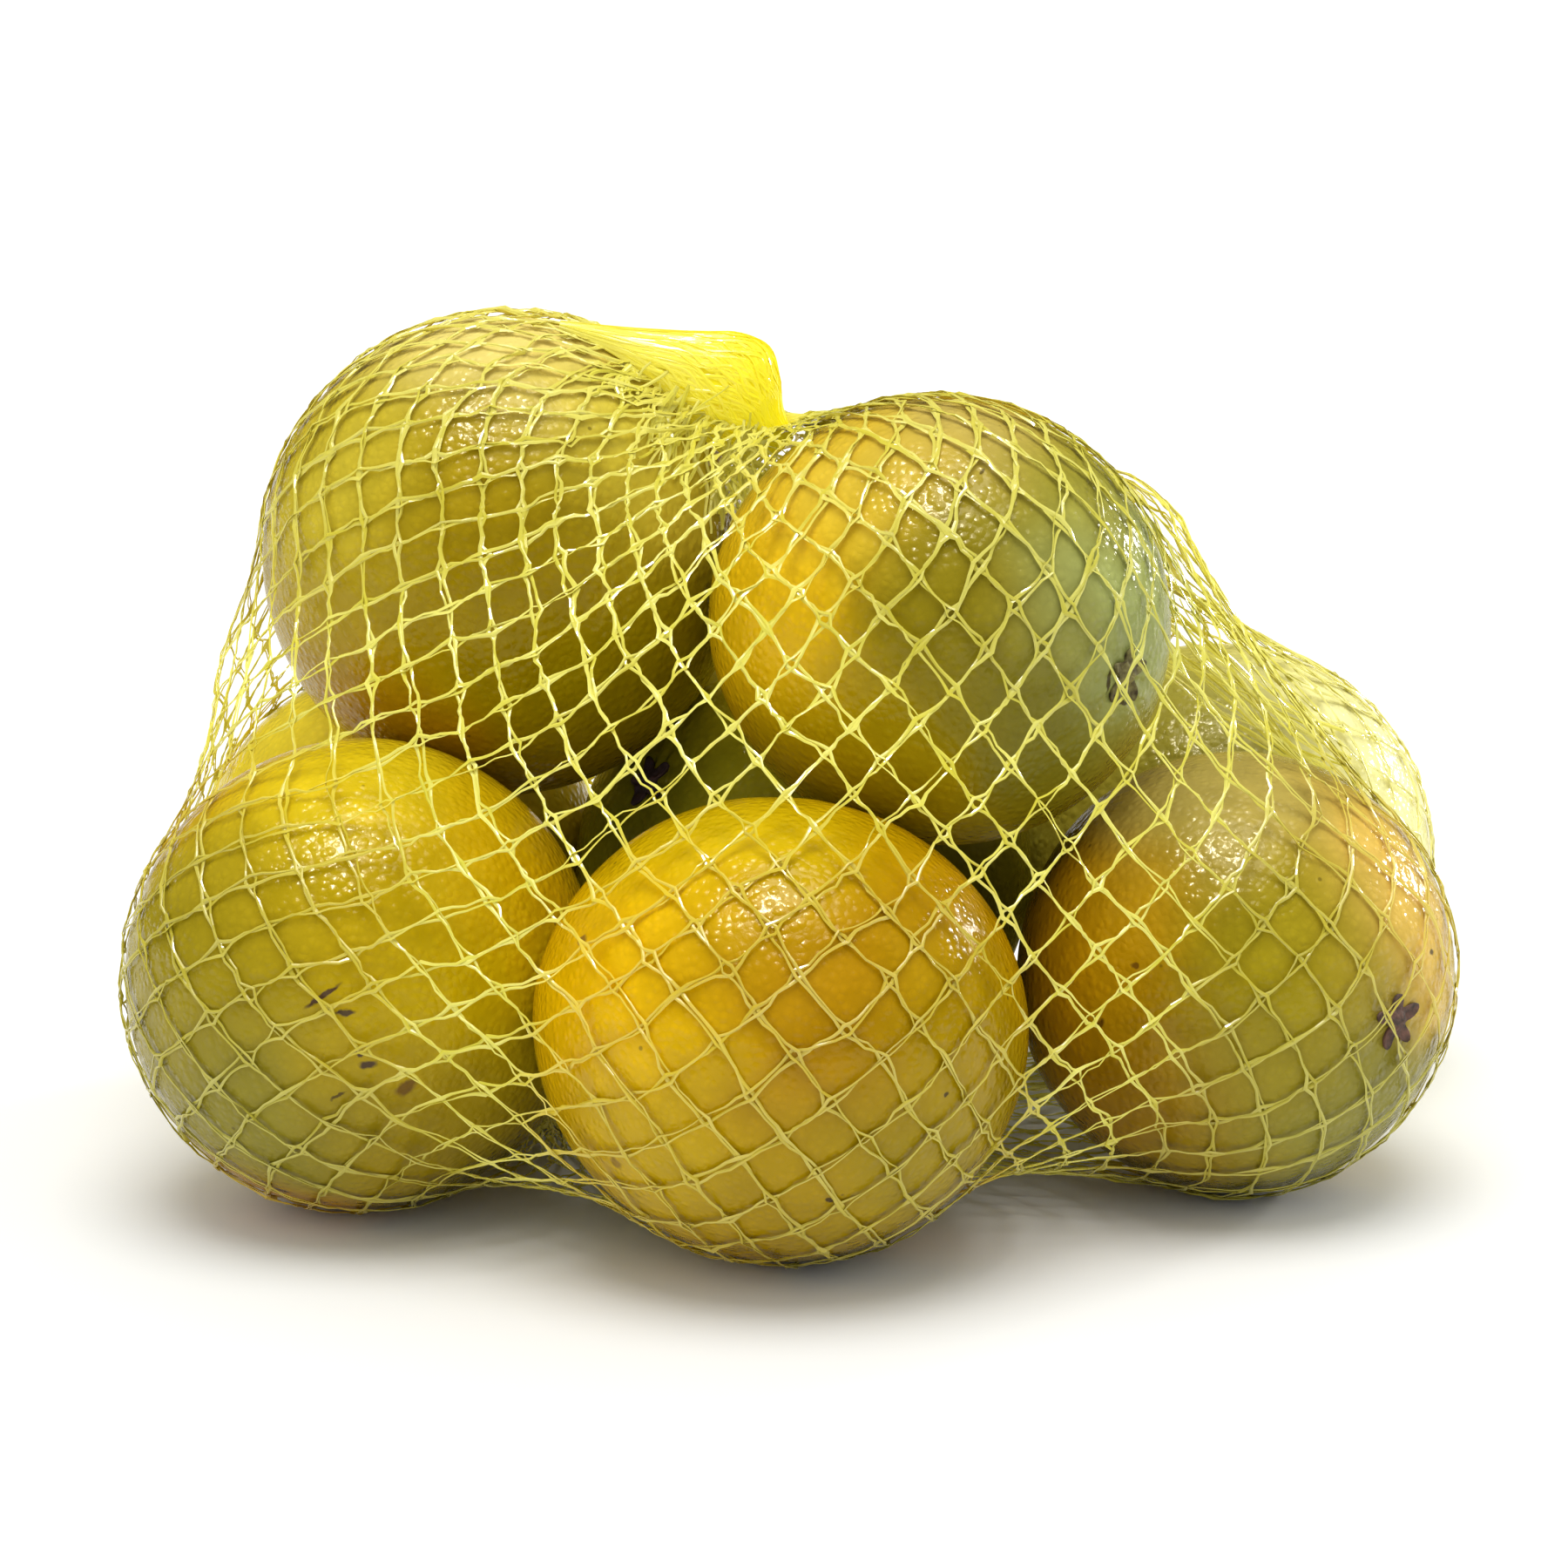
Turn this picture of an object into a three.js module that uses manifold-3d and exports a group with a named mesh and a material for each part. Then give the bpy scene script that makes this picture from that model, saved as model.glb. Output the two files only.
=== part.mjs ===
// A net of oranges: a heap of fruit in a knitted net, drawn tight and gathered to a neck and a tail on top.
// It is one solid: the oranges, each with the net that lies on it, joined by a core that fills the heap
// between them, and the gathered end of the net.
// Millimetres, +Z up. The origin is on the surface that the net lies on, under the middle of the heap.
// The front looks to -Y.
import * as THREE from "three";
import { mergeVertices } from "three/addons/utils/BufferGeometryUtils.js";
import Module from "manifold-3d";

const NET_THICKNESS = 1; // strands and knots over the skin of the fruit
const NECK = [-3.9, 10.5, 121.5]; // where the net is tied above the heap

// Oranges: across is the widest diameter, tall the size from stem end to blossom end, and stem points to the
// stem end. Those with no z lie on the surface, and the others rest in the hollows between them.
const ORANGES = [
  { x: -72.3, y: -26, across: 76.5, tall: 74.5, stem: [-0.5, 0.8, 0.3] }, // front left
  { x: -4.7, y: -53, across: 76, tall: 72, stem: [0.1, 0.5, 0.86] }, // front middle
  { x: 69.3, y: -18, across: 72.5, tall: 70.5, stem: [0.68, -0.73, -0.03] }, // front right
  { x: -71.4, y: 51, across: 72.5, tall: 70.5, stem: [-0.6, 0.7, -0.3] }, // back left
  { x: -1, y: 33.5, z: 40.5, across: 80, tall: 79, stem: [-0.68, -0.51, 0.53] }, // back middle
  { x: 72.4, y: 53.1, across: 76, tall: 74.5, stem: [0.3, 0.9, 0.2] }, // back right
  { x: -50.8, y: 16.8, z: 98.8, across: 81, tall: 79, stem: [-0.3, 0.9, 0.3] }, // top left
  { x: 20.8, y: -14.7, z: 93.8, across: 72, tall: 76.5, stem: [0.77, -0.63, -0.1] }, // top right
];
const ORANGE_DETAIL = 5; // cuts along each edge of the ball of triangles that makes an orange

// Core: what lies between the oranges, out to a sheet drawn tight round the heap at a depth under the peel
const CORE_DEPTH = 12;
const CORE_DETAIL = 13; // cuts along each edge of the ball of triangles that is drawn tight
const DRAWING_STEPS = 600; // rounds of pulling each point of the sheet towards its neighbours
const PULL = 0.9; // share of the way to its neighbours that a point moves in a round
const LENGTHWAYS = 24; // pull from top to bottom, for each unit of pull round the girth

// Tail: the bunched end of the net beyond the neck. It stands up from the tie, swells, bends to the left
// and thins out over the top left orange. Places are measured from the neck.
const TAIL_STATIONS = [
  { left: 2, up: -16, radius: 9 }, // sunk into the core
  { left: 2, up: -5, radius: 6 },
  { left: 5, up: 2.5, radius: 6.5 },
  { left: 9.5, up: 6, radius: 8.6 },
  { left: 15, up: 8.5, radius: 7 },
  { left: 21, up: 10.5, radius: 4.6 },
  { left: 34, up: 15, radius: 0.8 }, // sunk into the top left orange
];
const PLEATS = 8; // folds along the tail
const PLEAT_DEPTH = 0.12; // share of the radius
const TAIL_SIDES = 48;
const TAIL_RINGS = 16;

// The ellipsoid of an orange, grown by an amount, or shrunk where that is negative
function ellipsoidOf({ x, y, z, across, tall, stem }, growth) {
  const axis = new THREE.Vector3(...stem).normalize();
  const girth = across / 2;
  const half = tall / 2;
  const lift = Math.hypot(girth * Math.sqrt(1 - axis.z ** 2), half * axis.z); // centre over lowest point
  return {
    centre: new THREE.Vector3(x, y, z ?? lift),
    axis,
    girth: girth + growth,
    half: half + growth,
  };
}

// Moves a point that is inside an orange straight out from its centre to its skin
function pushOut(point, { centre, axis, girth, half }) {
  const arm = point.clone().sub(centre);
  const along = arm.dot(axis);
  const aside = Math.sqrt(Math.max(0, arm.lengthSq() - along ** 2));
  const depth = Math.hypot(aside / girth, along / half);
  if (depth < 1) point.copy(centre).addScaledVector(arm, 1 / Math.max(depth, 1e-6));
}

// The corners of a geometry
function cornersOf(geometry) {
  const place = geometry.attributes.position;
  return Array.from({ length: place.count }, (_, i) => new THREE.Vector3().fromBufferAttribute(place, i));
}

// A geometry with its shared corners merged, holding positions alone
function welded(geometry) {
  const bare = geometry.clone();
  bare.deleteAttribute("normal");
  bare.deleteAttribute("uv");
  return mergeVertices(bare, 1e-4);
}

// An orange with the net on it, flat where it lies on the surface below
function wrappedOrange(orange) {
  const { centre, axis, girth, half } = ellipsoidOf(orange, NET_THICKNESS);
  const ball = welded(new THREE.IcosahedronGeometry(1, ORANGE_DETAIL))
    .scale(girth, half, girth)
    .applyQuaternion(new THREE.Quaternion().setFromUnitVectors(THREE.Object3D.DEFAULT_UP, axis))
    .translate(...centre);
  const place = ball.attributes.position;
  for (let i = 0; i < place.count; i++) place.setZ(i, Math.max(place.getZ(i), 0));
  return ball;
}

// For each corner of a welded ball, the corners that share an edge with it and how stiff each edge is:
// an edge is stiffer the more of it runs from pole to pole
function edgesFrom(ball) {
  const points = cornersOf(ball);
  const latitudes = points.map((point) => Math.asin(point.z / point.length()));
  const neighbours = points.map(() => new Set());
  const corners = ball.index.array;
  for (let i = 0; i < corners.length; i += 3) {
    const triangle = corners.slice(i, i + 3);
    triangle.forEach((a) => triangle.forEach((b) => a !== b && neighbours[a].add(b)));
  }
  return neighbours.map((around, a) =>
    [...around].map((b) => {
      const lengthways = (latitudes[b] - latitudes[a]) / points[a].angleTo(points[b]);
      return { b, stiffness: THREE.MathUtils.lerp(1, LENGTHWAYS, lengthways ** 2) };
    }),
  );
}

// The core: a ball of triangles round the heap, whose points are pulled towards their neighbours, harder by
// longer and stiffer edges, and pushed out of the shrunken oranges, while the point at the neck stays there
function core() {
  const shrunken = ORANGES.map((orange) => ellipsoidOf(orange, -CORE_DEPTH));
  const heap = new THREE.Box3();
  const reach = new THREE.Vector3();
  for (const { centre, girth } of shrunken) {
    heap.expandByPoint(reach.copy(centre).addScalar(girth));
    heap.expandByPoint(reach.copy(centre).addScalar(-girth));
  }
  const middle = heap.getCenter(new THREE.Vector3());
  const halfSize = heap.getSize(new THREE.Vector3()).multiplyScalar(Math.sqrt(3) / 2);

  const sheet = welded(new THREE.IcosahedronGeometry(1, CORE_DETAIL));
  const edges = edgesFrom(sheet);
  const points = cornersOf(sheet).map((point) => point.multiply(halfSize).add(middle));
  const neck = new THREE.Vector3(...NECK);
  const upwards = neck.clone().sub(middle).normalize();
  const facing = points.map((point) => point.clone().sub(middle).normalize().dot(upwards));
  const tied = facing.indexOf(Math.max(...facing));

  const mean = new THREE.Vector3();
  for (let step = 0; step < DRAWING_STEPS; step++) {
    points.forEach((point, i) => {
      mean.set(0, 0, 0);
      let total = 0;
      for (const { b, stiffness } of edges[i]) {
        const pull = stiffness * point.distanceTo(points[b]);
        mean.addScaledVector(points[b], pull);
        total += pull;
      }
      point.lerp(mean.divideScalar(total), PULL);
      for (const orange of shrunken) pushOut(point, orange);
    });
    points[tied].copy(neck);
  }
  points.forEach((point, i) => sheet.attributes.position.setXYZ(i, ...point));
  return sheet;
}

// The tail: a pleated rod carried along a curve through the stations, whose y holds the radius
function tail() {
  const course = new THREE.CatmullRomCurve3(
    TAIL_STATIONS.map(({ left, up, radius }) => new THREE.Vector3(-left, radius, up)),
  );
  const rod = new THREE.CylinderGeometry(1, 1, 1, TAIL_SIDES, TAIL_RINGS);
  const place = rod.attributes.position;
  for (let i = 0; i < place.count; i++) {
    const along = place.getY(i) + 0.5;
    const spot = course.getPoint(along);
    const heading = course.getTangent(along).setY(0).normalize();
    const turn = Math.atan2(place.getZ(i), place.getX(i));
    const pleat = 1 + PLEAT_DEPTH * Math.cos(PLEATS * turn);
    const reach = Math.hypot(place.getX(i), place.getZ(i)) * spot.y * pleat;
    const over = reach * Math.cos(turn);
    place.setXYZ(i, spot.x + over * heading.z, -reach * Math.sin(turn), spot.z - over * heading.x);
  }
  return welded(rod.translate(...NECK));
}

// Joins closed geometries into one
const wasm = await Module();
wasm.setup();
function solidOf(geometry) {
  return new wasm.Manifold(
    new wasm.Mesh({
      numProp: 3,
      vertProperties: new Float32Array(geometry.attributes.position.array),
      triVerts: new Uint32Array(geometry.index.array),
    }),
  );
}
function fused(...geometries) {
  const { vertProperties, triVerts } = geometries
    .map(solidOf)
    .reduce((whole, piece) => whole.add(piece))
    .getMesh();
  return new THREE.BufferGeometry()
    .setAttribute("position", new THREE.BufferAttribute(vertProperties, 3))
    .setIndex(new THREE.BufferAttribute(triVerts, 1));
}

const net = new THREE.Mesh(
  fused(core(), ...ORANGES.map(wrappedOrange), tail()),
  new THREE.MeshStandardMaterial({ color: 0xcdb92f, roughness: 0.45, metalness: 0 }),
);
net.name = "orange_net";
net.geometry.computeVertexNormals();

const netOfOranges = new THREE.Group();
netOfOranges.add(net);
export default netOfOranges;
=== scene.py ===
"""A net of oranges: eight oranges in a knitted yellow net that is drawn tight and gathered on top.

The fruit, their stem ends, the net, its gathered tail and the stage are each made by an operator.
Shapes are worked out in millimetres in the part's frame and put into the meshes in metres.
"""
import itertools
import math

import bpy
import numpy as np
from bpy.props import FloatProperty, FloatVectorProperty, IntProperty, PointerProperty
from mathutils import Matrix, Vector


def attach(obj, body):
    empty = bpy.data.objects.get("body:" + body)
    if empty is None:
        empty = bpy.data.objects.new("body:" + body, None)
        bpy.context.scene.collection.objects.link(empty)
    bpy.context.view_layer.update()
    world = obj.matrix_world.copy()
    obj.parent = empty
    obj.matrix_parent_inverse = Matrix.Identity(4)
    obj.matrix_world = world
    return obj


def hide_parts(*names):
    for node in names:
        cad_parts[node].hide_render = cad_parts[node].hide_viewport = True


bl_info = {
    "name": "Net of oranges",
    "version": (1, 0, 0),
    "blender": (4, 5, 0),
    "location": "3D View > Sidebar > Oranges",
    "description": "Makes a net of oranges and the stage that it is shown on",
    "category": "Object",
}

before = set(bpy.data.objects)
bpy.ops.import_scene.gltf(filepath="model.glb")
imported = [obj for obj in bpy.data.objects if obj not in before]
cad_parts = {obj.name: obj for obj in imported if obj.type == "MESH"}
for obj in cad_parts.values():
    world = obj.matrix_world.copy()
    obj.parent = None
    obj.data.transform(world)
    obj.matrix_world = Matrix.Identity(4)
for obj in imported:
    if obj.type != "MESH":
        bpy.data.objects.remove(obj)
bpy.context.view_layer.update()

MM = 0.001
NODE = "orange_net"
BODY = "root"
TINY = 1e-9  # keeps a division by a length from failing

# Seeds, one for each thing that is drawn by chance
SEED = 7
KNOT_SEED = SEED + 10
FILAMENT_SEED = SEED + 20
TAIL_SEED = SEED + 30
FURROW_SEED = SEED + 40
BLOTCH_SEED = SEED + 60
MOTTLE_SEED = SEED + 70
BUTTON_SEED = SEED + 90
ANY_PHASE = (0.0, 6.3)  # radians, about a full turn

# Random relief: numbers that scatter the sine of a cell's place
HASH_WEIGHTS = np.array([127.1, 311.7, 74.7])
HASH_SEED_STEP = 53.3
HASH_STRETCH = 43758.5453

# Camera: where it looks, in millimetres, and from where
CAMERA_TARGET = (-4.2, -27.7, 70.0)
CAMERA_RISE = 13.26  # degrees over the horizon
CAMERA_DISTANCE = 749.6
CAMERA_VIEW = 18.92  # degrees across the frame

# The oranges, in millimetres in the part's frame. Across is the widest diameter, tall the size from stem
# end to blossom end, and stem points to the stem end. Those with no height given lie on the floor.
# A blotch is a patch of colour: where it is on the fruit as seen from the front, to the right and up in
# shares of the radius, its reach in the same measure, and its colour. Some blotches are painted shade or
# painted highlights, as the comments in the table say. A mark is a scar or speck: right, up, length and
# width in millimetres, turn in degrees from level, and colour. Button gives the two colours of the stem
# end.
DRY_BUTTON = ("#5C4A30", "#8A7A48")
ORANGES = (
    {
        "name": "front_left", "peel": "#BE9C08",
        "place": (-72.3, -26.0, None), "across": 76.5, "tall": 74.5, "stem": (-0.5, 0.8, 0.3),
        "blotches": (
            (0.10, 0.85, 0.45, "#E2C618"), (0.75, 0.50, 0.40, "#CEA600"), (0.10, 0.20, 0.45, "#B69A04"),
            (0.55, -0.10, 0.35, "#D4B800"), (-0.60, 0.05, 0.40, "#928110"),
            (-0.50, -0.55, 0.45, "#807B26"), (-0.30, -0.95, 0.25, "#BE8210"),
            # Painted shade: the dark blotches at (0.18, -0.97) and (0.50, -0.85) make a dark rim at the
            # bottom.
            (0.45, -0.60, 0.40, "#947E0C"), (0.18, -0.97, 0.15, "#3A3A12"),
            (0.50, -0.85, 0.15, "#46420E"),
        ),
        "marks": (
            (-0.07, -0.05, 6.5, 0.8, 35, "#3A2028"), (0.02, -0.12, 3.4, 1.0, 5, "#33202A"),
            (0.08, -0.29, 1.6, 1.0, 20, "#3C2A2C"), (0.11, -0.34, 3.0, 1.5, 10, "#33202C"),
            (0.26, -0.44, 3.6, 2.4, 30, "#6A4A1C"), (-0.02, -0.47, 3.0, 0.6, 35, "#4A3818"),
            (-0.32, -0.89, 3.6, 1.8, 330, "#5A3A18"),
        ),
    },
    {
        "name": "front_middle", "peel": "#C29000",
        "place": (-4.7, -53.0, None), "across": 77.6, "tall": 72.4, "stem": (0.1, 0.5, 0.86),
        "blotches": (
            (0.15, 0.20, 0.45, "#A67900"), (-0.70, 0.15, 0.45, "#EAB900"), (-0.20, 0.80, 0.40, "#D4B608"),
            (0.75, -0.05, 0.35, "#A88800"), (0.60, -0.45, 0.45, "#98860A"),
            (0.05, -0.75, 0.40, "#A48604"), (-0.50, -0.45, 0.40, "#BEA004"),
            # Painted shade: the three dark blotches at the bottom make a dark rim there.
            (0.20, -0.97, 0.16, "#34320C"), (0.45, -0.88, 0.16, "#46440E"),
            (0.66, -0.74, 0.13, "#5C5A14"),
        ),
        "marks": (
            (-0.78, 0.37, 2.4, 1.8, 20, "#7A5418"), (0.65, -0.22, 1.0, 0.8, 0, "#3A2A14"),
            (0.20, -0.66, 1.5, 0.9, 330, "#33200E"), (-0.67, -0.52, 2.6, 2.0, 0, "#8A6A14"),
        ),
    },
    {
        "name": "front_right", "peel": "#A08812", "button": ("#40362E", "#7A5648"),
        "place": (69.3, -18.0, None), "across": 72.5, "tall": 70.5, "stem": (0.68, -0.73, -0.03),
        "blotches": (
            # Painted light in this list: the pale blotch at (0.75, 0.35) is partly the peel's tan and
            # partly a painted highlight, the dark ones at (-0.97, 0.05) and (-0.80, 0.57) are painted shade
            # on the left edge, and the three dark ones at the bottom are painted shade along the rim.
            (-0.78, 0.10, 0.40, "#D29E06"), (-0.60, -0.45, 0.40, "#986F06"),
            (-0.15, 0.85, 0.35, "#C0AC58"), (0.05, 0.15, 0.40, "#98880C"), (0.10, -0.45, 0.40, "#8E8018"),
            (0.50, -0.65, 0.40, "#828034"), (0.75, 0.35, 0.40, "#EAC25E"), (-0.97, 0.05, 0.20, "#4A3208"),
            (-0.80, 0.57, 0.18, "#463610"), (0.00, -0.98, 0.15, "#3A3A12"),
            (0.36, -0.92, 0.14, "#3A3A12"), (-0.40, -0.90, 0.15, "#3A3412"),
        ),
        "marks": (
            (-0.52, 0.06, 1.6, 1.2, 0, "#6A4408"), (-0.66, -0.20, 2.2, 1.4, 40, "#5E3E0C"),
            (0.84, 0.11, 1.6, 1.0, 0, "#4A3A14"),
        ),
    },
    {
        "name": "back_left", "peel": "#E4CA24",
        "place": (-71.4, 51.0, None), "across": 72.5, "tall": 70.5, "stem": (-0.6, 0.7, -0.3),
        "blotches": ((-0.30, 0.70, 0.50, "#EED634"),),
    },
    {
        "name": "back_middle", "peel": "#B8AC14", "button": ("#3A2E30", "#5A4650"),
        "place": (-1.0, 33.5, 40.5), "across": 80.0, "tall": 79.0, "stem": (-0.68, -0.51, 0.53),
        "blotches": (
            # Painted light and shade: the bright blotch at (-0.05, 0.80) is a painted pool of light on the
            # top, where the hollow shades it, and the dark one at (0.70, 0.20) is painted shade on its
            # right side.
            (-0.55, 0.35, 0.45, "#6C6C18"), (-0.05, 0.80, 0.50, "#FFF430"), (0.70, 0.20, 0.55, "#3E380A"),
        ),
    },
    {
        "name": "back_right", "peel": "#DCD04C",
        "place": (72.4, 53.1, None), "across": 76.0, "tall": 74.5, "stem": (0.3, 0.9, 0.2),
        # Painted highlight: the near-white blotch at (0.60, 0.45) is partly pale peel and partly a painted
        # sheen.
        "blotches": ((0.60, 0.45, 0.50, "#FFFBB6"), (0.0, 0.5, 0.40, "#9A922A")),
    },
    {
        "name": "top_left", "peel": "#B09600",
        "place": (-50.8, 16.8, 98.8), "across": 81.0, "tall": 79.0, "stem": (-0.3, 0.9, 0.3),
        "blotches": (
            # The pale blotch on top, at (0.00, 0.88), is partly yellower peel and partly a painted sheen of
            # glare.
            (0.00, 0.88, 0.34, "#FBE886"), (-0.68, 0.32, 0.40, "#C8B430"), (0.05, 0.10, 0.50, "#9E8400"),
            (0.60, 0.35, 0.35, "#E4D244"), (0.45, -0.50, 0.45, "#968800"),
            (-0.40, -0.80, 0.30, "#AE8004"),
        ),
    },
    {
        "name": "top_right", "peel": "#9A860E", "button": ("#3E3018", "#948C52"),
        "place": (20.8, -14.7, 93.8), "across": 72.0, "tall": 76.5, "stem": (0.77, -0.63, -0.1),
        "blotches": (
            (-0.80, 0.15, 0.42, "#FACC10"), (-0.45, 0.62, 0.36, "#DEBC36"), (0.10, 0.86, 0.30, "#CEB65C"),
            (0.00, 0.05, 0.40, "#82740C"), (-0.35, -0.70, 0.40, "#B09802"), (0.80, 0.15, 0.40, "#A6B26E"),
            (0.55, 0.60, 0.35, "#988E20"), (0.40, -0.60, 0.40, "#726E16"),
        ),
        "marks": (
            (0.16, 0.62, 1.4, 0.8, 60, "#5A4A1A"), (0.20, 0.12, 1.6, 0.9, 0, "#6A5414"),
            (0.69, -0.27, 4.6, 1.0, 80, "#38280F"), (0.75, -0.36, 4.2, 1.0, 340, "#38280F"),
        ),
    },
)
ASKEW = (0.3, 0.2, 0.93)  # a direction that no stem points along

# Colour and grain of the peel and the stem ends. Sizes are in millimetres.
BASE_WEIGHT = 0.10  # of the peel's own colour, where 1 is the middle of a blotch
BLOTCH_SHAKE = 5.0  # how far their edges stray
BLOTCH_SHAKE_SIZE = 11.0
MOTTLING = ((14.0, 0.05), (4.0, 0.05))  # sizes of lighter and darker patches, and how strong they are
HIDDEN_SIDE = ("#C8AC10", "#A0941A", "#D2A606", "#A49214")  # blotches shared by the sides that face away
HIDDEN_WAY = (0.0, 0.9, 0.0)
HIDDEN_REACH = (0.35, 0.55)
PATCH_SIZE = 7.0
GRAIN_SIZE = 0.9
SPECK_SPACING = 5.0
SPECKED_SHARE = 0.125  # of the cells of that spacing
SPECK_COLOUR = "#4A3A12"
BUTTON_GRAIN = 1.6
BUTTON_RELIEF = 0.4
SCAR_RAGGED_SIZE = 1.4
SCAR_RAGGED = 1.2  # how far the edges of a scar stray
SCAR_DEPTH = 8.0  # through the peel, so that its colour reaches all the relief

# Relief of the peel, in millimetres: the size of the lumps and how high they stand
LUMPS = ((24.0, 0.30), (9.0, 0.05), (3.6, 0.012))
LUMPS_DROP = 0.25  # keeps the lumps under the net
STEM_PIT = (1.3, 8.0)  # depth and reach of the pit at the stem end
BLOSSOM_PIT = (0.7, 3.2)
FURROWS = 9  # that run into the pit at the stem end
FURROW_DEPTH = 0.35
FURROW_REACH = 13.0
FURROW_START = 3.0  # distance from the stem over which they deepen
FURROW_STRAY = 1.8  # radians at most
FURROW_STRAY_SIZE = 9.0
FLOOR_GAP = 0.7  # room for the net between the fruit and the floor

# The net. It is gathered on top along a narrow loop under the tail, and below the heap on a small ring.
NECK = np.array([-3.9, 10.5, 121.5])
LOOP_MIDDLE = NECK + (-12.0, 4.0, 5.0)
LOOP_RUN = np.array([37.0, -8.0, -17.0])  # the way that the loop runs, down to the neck
LOOP_HALF_LENGTH = 13.0
LOOP_HALF_WIDTH = 3.0
UNDER = np.array([-42.0, 16.0, 1.0])
UNDER_RADIUS = 3.0
NET_CLEAR = 0.5  # from the peel to the middle of a strand
NET_LOWEST = 0.55
NET_TWIST = 12.0  # columns that the net is turned by from top to bottom
POLE_GAP = 0.02  # share of the way from pole to pole at which the first and last rows start
FRONT_WAY = -2.2  # direction round the heap, in radians, where the upper columns are widest apart
FRONT_SPREAD = 0.9  # how much wider than the mean they are there
FRONT_END = 0.9  # share of the rows over which that fades
STAND_OFF = ((-72.0, 12.0, 76.0, 27.0), (45.0, 2.0, 97.0, 19.0))  # balls that the stiff net stands off by
SHRINK_STEPS = 700
EVEN_STEPS = 1500
SETTLE_STEPS = 25
SHRINK_PULL = 0.3
STRETCH = 0.2  # share of its extra length that a long strand takes back in a step
SQUEEZE = 0.2  # share that a short strand makes up
SLACK = 0.01  # pull that is left in a strand of the right length
SQUEEZE_ROWS = 2.0  # rows from a gather over which strands start to hold their length
HOLD = 0.2  # share that a short strand makes up where the net lies wide open, on the top left orange
HOLD_PLACE = (-55.0, -22.0, 105.0)
HOLD_REACH = 34.0
KNOT_SHAKE = 0.45
STILL_ROWS = 2  # rows at the loop that aren't shaken

# Filaments, two to a strand, in millimetres and radians. Two numbers are the least and the most.
CRINKLES = 4  # bends from knot to knot
EDGE_CUTS = 2 * CRINKLES  # steps from knot to knot
CRINKLE = 0.17  # how far a bend strays in the net
CRINKLE_LIFT = 0.6  # share of that by which a bend stands up
FULL_STRAND = 7.0  # strands that are shorter than this have less room
LEAST_ROOM = 0.3
OPEN_POWER = 1.8  # how soon a pair closes on the way from a knot
PINCH = (0.05, 0.5)  # share of the opening that is left half way
SPREAD = (0.35, 1.6)  # opening at a knot, in shares of the usual one
CROSSING = 0.45  # share of the strands on which a pair crosses
OVER_UNDER = 0.12  # rise and fall of the two lays where they cross
PAIR_RISE = 0.08  # rise of one filament over the other half way
FILAMENT_LOWEST = 0.4
HALF_THICK = 0.12
ROLL = 0.45
WIDTH = (0.75, 1.3)  # shares of the usual width, by chance
WIDTH_OPENING = (0.85, 1.3)  # by how open the pair is
WIDTH_ROOM = (0.4, 1.0)  # by the room on the strand
WIDTH_COVER = (0.3, 1.2)  # by the film's cover
SECTION = 4  # points round a filament

# Thin film lets the peel under it show: the share of its own colour where it lies on the fruit, by row of
# knots, and the gap in millimetres over which that share rises to one
FILM_COVER = ((0, 0.85), (9, 0.76), (18, 0.44), (44, 0.44))
FILM_TOUCH = 1.0
FILM_GAP = 4.0
# FILM_GLOW and TAIL_GLOW are a painted glow: the net emits light in its own colour, which stands for light
# that comes through the film from behind.
FILM_GLOW = 0.24  # light from behind that film passes on where it stands off the heap
GLOW_REACH = 8.0
TAIL_GLOW = 0.09

# The tail: the bunched end of the net, a fan that stands up from the neck and lies over to the left. Its
# upper and lower edges are points to the left and up from the neck, and its half thickness is given there.
TAIL_UPPER = np.array([
    (-1.0, -2.0), (0.6, 3.0), (1.2, 8.5), (2.8, 13.0),
    (7.5, 15.3), (13.0, 15.5), (24.0, 16.0), (37.0, 17.2),
])
TAIL_LOWER = np.array([
    (1.5, -4.0), (6.0, -5.0), (11.0, -4.0), (16.0, -1.8),
    (20.0, 1.5), (24.5, 6.5), (30.0, 11.5), (37.0, 16.4),
])
TAIL_THICK = np.array([3.0, 4.5, 6.0, 6.5, 6.0, 5.0, 3.0, 1.2])

# Strands drawn together over hollows: the middles of the boxes that they start and end in, from the neck,
# the half size of those boxes, the way that the strands face, and how many there are
TO_FRONT = (0.0, -0.8, 0.6)
TO_RIGHT = (0.5, -0.6, 0.6)
BUNCHES = {
    "net_drawn_in": ((-3.0, -1.0, -3.0), (-5.0, -9.0, -8.5), (9.0, 4.0, 5.0), TO_FRONT, 40),
    "net_below_tail_1": ((-8.0, -5.0, 0.0), (-10.0, -11.0, -13.0), (6.0, 3.0, 4.0), TO_FRONT, 30),
    "net_below_tail_2": ((-16.0, -5.0, 4.0), (-23.0, -12.0, -7.0), (6.0, 3.0, 4.0), TO_FRONT, 30),
    "net_below_tail_3": ((-24.0, -4.0, 9.0), (-32.0, -10.0, 3.0), (5.0, 2.0, 3.0), TO_FRONT, 14),
    "net_bunched_right": ((61.9, 1.5, -33.5), (89.9, 15.5, -59.5), (6.0, 8.0, 6.0), TO_RIGHT, 22),
}


def linear(colour):
    """Linear red, green, blue and alpha from an sRGB hex colour."""
    parts = [int(colour[i:i + 2], 16) / 255 for i in (1, 3, 5)]
    return tuple(c / 12.92 if c <= 0.04045 else ((c + 0.055) / 1.055) ** 2.4 for c in parts) + (1.0,)


def between(low, high, share):
    """What lies at a share of the way from low to high."""
    return low + share * (high - low)


def unit(vectors):
    """Vectors brought to length one along their last axis."""
    return vectors / np.maximum(np.linalg.norm(vectors, axis=-1, keepdims=True), TINY)


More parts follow.
